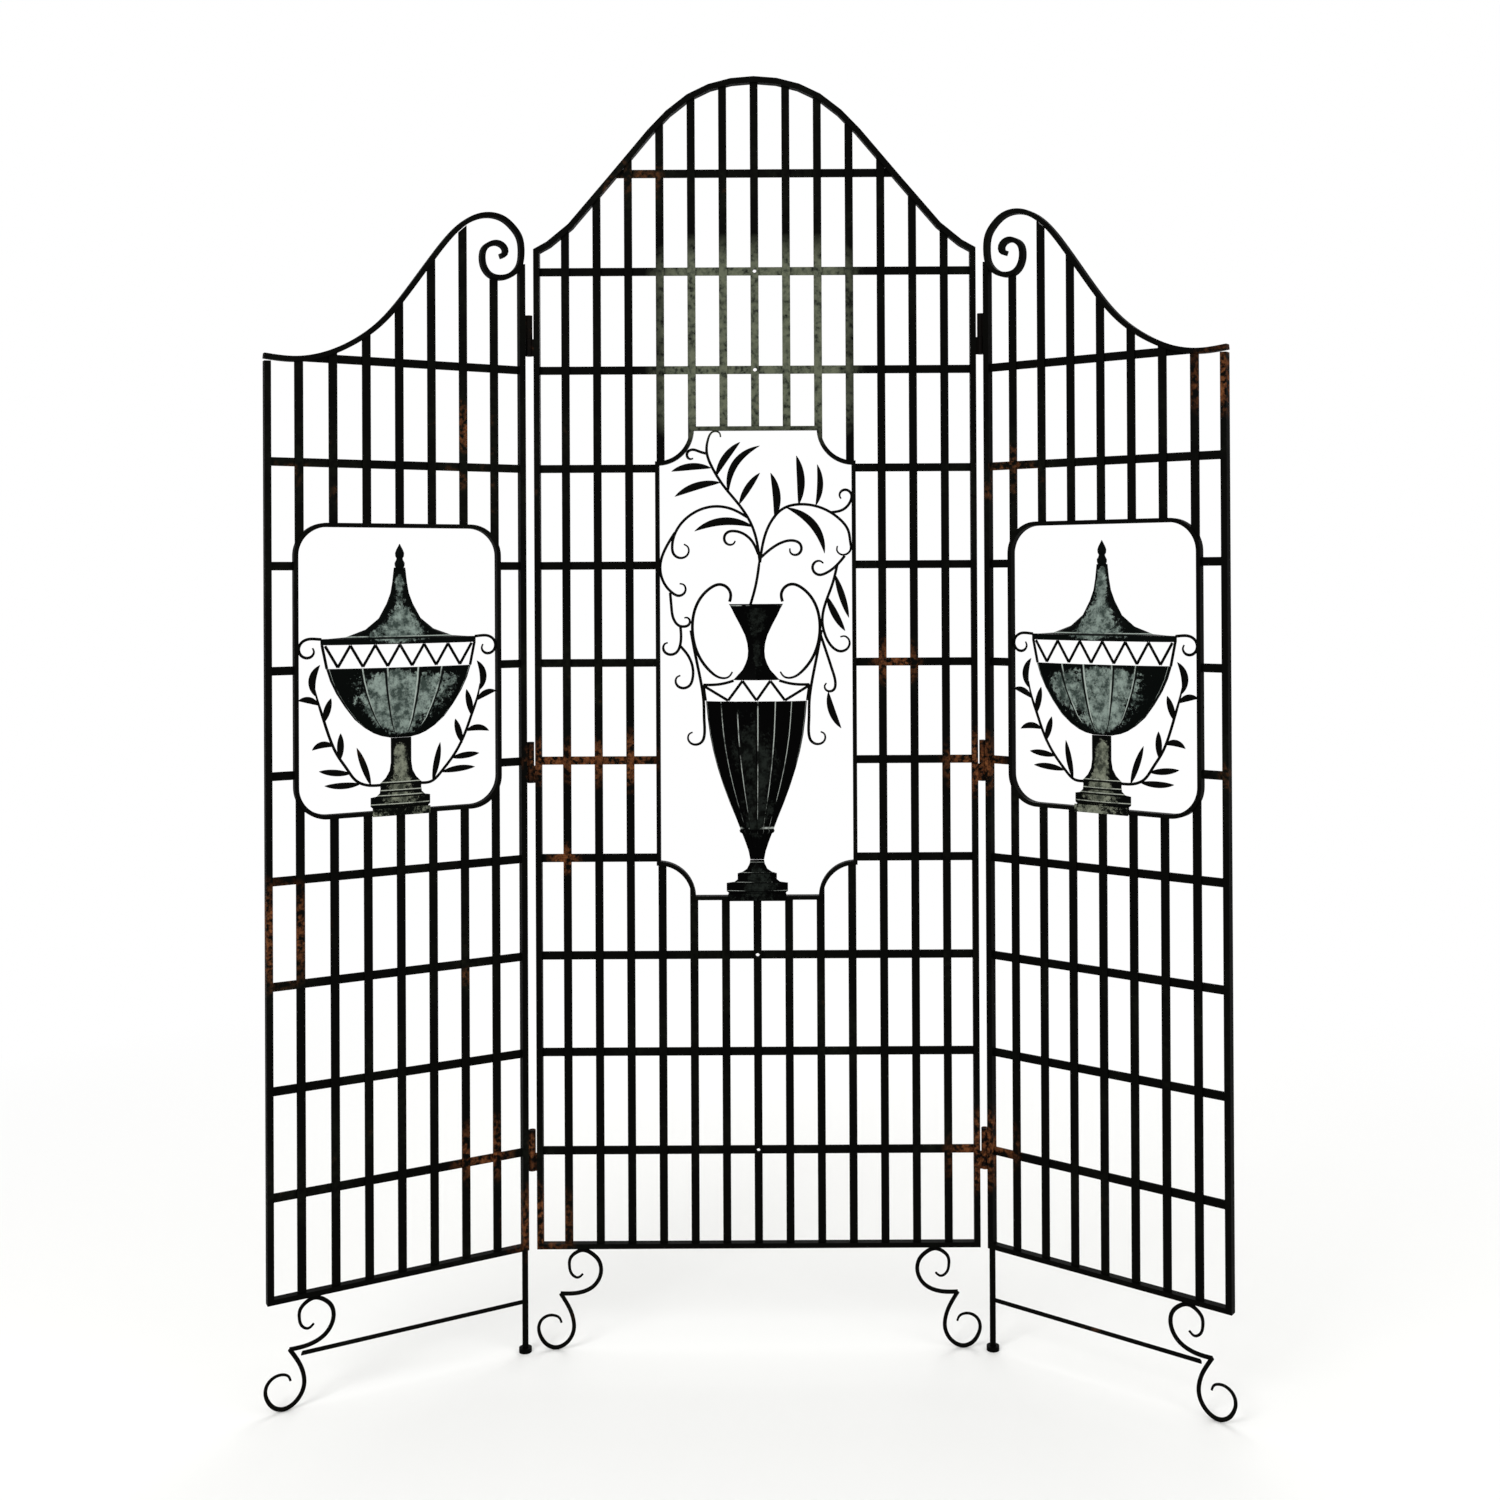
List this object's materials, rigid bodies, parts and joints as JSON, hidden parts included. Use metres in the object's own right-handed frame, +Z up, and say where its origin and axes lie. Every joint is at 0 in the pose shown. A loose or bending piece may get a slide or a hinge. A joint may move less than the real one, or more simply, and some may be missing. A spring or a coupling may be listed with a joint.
{
  "type": "folding screen",
  "caption": "Three-leaf wrought iron folding screen: arched centre panel and swept wings in flat-bar lattice, framing a vase and covered urns, on scroll feet.",
  "frame": {"origin": "on the floor below the middle of the whole screen as it stands in the picture, with the left wing opened 29.4 degrees and the right wing 36.8 degrees from flat", "axes": "+Z up, +X to the right as seen from the front, -Y towards the front; the centre leaf lies parallel to the XZ plane"},
  "size_m": [1.412, 0.257, 2.0129],
  "materials": {
    "frame_iron": "aged black paint over forged iron, satin",
    "lattice_iron": "aged black paint over flat bar, grey-green bloom and small rust spots",
    "foot_iron": "aged black paint, rust at the floor",
    "hinge_iron": "bare worn iron with rust",
    "ornament_iron": "aged black paint on thin wire and leaf",
    "vase_iron": "near-black embossed sheet with pale worn flutes",
    "urn_iron": "mottled dark slate-green embossed sheet with worn edges"
  },
  "bodies": {
    "centre_leaf": {"bouquet_leaves": "ornament_iron", "bouquet_stems": "ornament_iron", "centre_arch": "frame_iron", "centre_bottom_rail": "frame_iron", "centre_lower_crossbars": "lattice_iron", "centre_lower_uprights": "lattice_iron", "centre_motif_frame": "frame_iron", "centre_scroll_feet": "foot_iron", "centre_short_crossbars": "lattice_iron", "centre_side_uprights": "lattice_iron", "centre_stiles": "frame_iron", "centre_top_crossbars": "lattice_iron", "centre_upper_uprights": "lattice_iron", "hinge_pintles": "hinge_iron", "vase_body": "vase_iron", "vase_foot": "vase_iron", "vase_handles": "ornament_iron", "vase_lattice_band": "ornament_iron", "vase_neck": "vase_iron", "vase_side_scrolls": "ornament_iron"},
    "left_wing": {"left_bottom_rail": "frame_iron", "left_hinge_sockets": "hinge_iron", "left_inner_stile": "frame_iron", "left_laurel_branches": "ornament_iron", "left_lower_crossbars": "lattice_iron", "left_lower_uprights": "lattice_iron", "left_motif_frame": "frame_iron", "left_outer_stile": "frame_iron", "left_round_leg": "foot_iron", "left_scroll_foot": "foot_iron", "left_short_crossbars": "lattice_iron", "left_stretcher_rod": "foot_iron", "left_swept_top_bar": "frame_iron", "left_upper_crossbars": "lattice_iron", "left_upper_uprights": "lattice_iron", "left_urn_bowl": "urn_iron", "left_urn_foot": "urn_iron", "left_urn_lattice_band": "ornament_iron", "left_urn_lid": "urn_iron", "left_urn_rim_scrolls": "ornament_iron"},
    "right_wing": {"right_bottom_rail": "frame_iron", "right_hinge_sockets": "hinge_iron", "right_inner_stile": "frame_iron", "right_laurel_branches": "ornament_iron", "right_lower_crossbars": "lattice_iron", "right_lower_uprights": "lattice_iron", "right_motif_frame": "frame_iron", "right_outer_stile": "frame_iron", "right_round_leg": "foot_iron", "right_scroll_foot": "foot_iron", "right_short_crossbars": "lattice_iron", "right_stretcher_rod": "foot_iron", "right_swept_top_bar": "frame_iron", "right_upper_crossbars": "lattice_iron", "right_upper_uprights": "lattice_iron", "right_urn_bowl": "urn_iron", "right_urn_foot": "urn_iron", "right_urn_lattice_band": "ornament_iron", "right_urn_lid": "urn_iron", "right_urn_rim_scrolls": "ornament_iron"}
  },
  "joints": [
    {"name": "left_wing_hinge", "type": "hinge", "parent": "centre_leaf", "child": "left_wing", "pos_m": [-0.34358, 0.12216, 0], "axis": [0, 0, 1], "range_deg": [-129.4, 70.6]},
    {"name": "right_wing_hinge", "type": "hinge", "parent": "centre_leaf", "child": "right_wing", "pos_m": [0.37242, 0.12216, 0], "axis": [0, 0, 1], "range_deg": [-63.2, 136.8]}
  ]
}
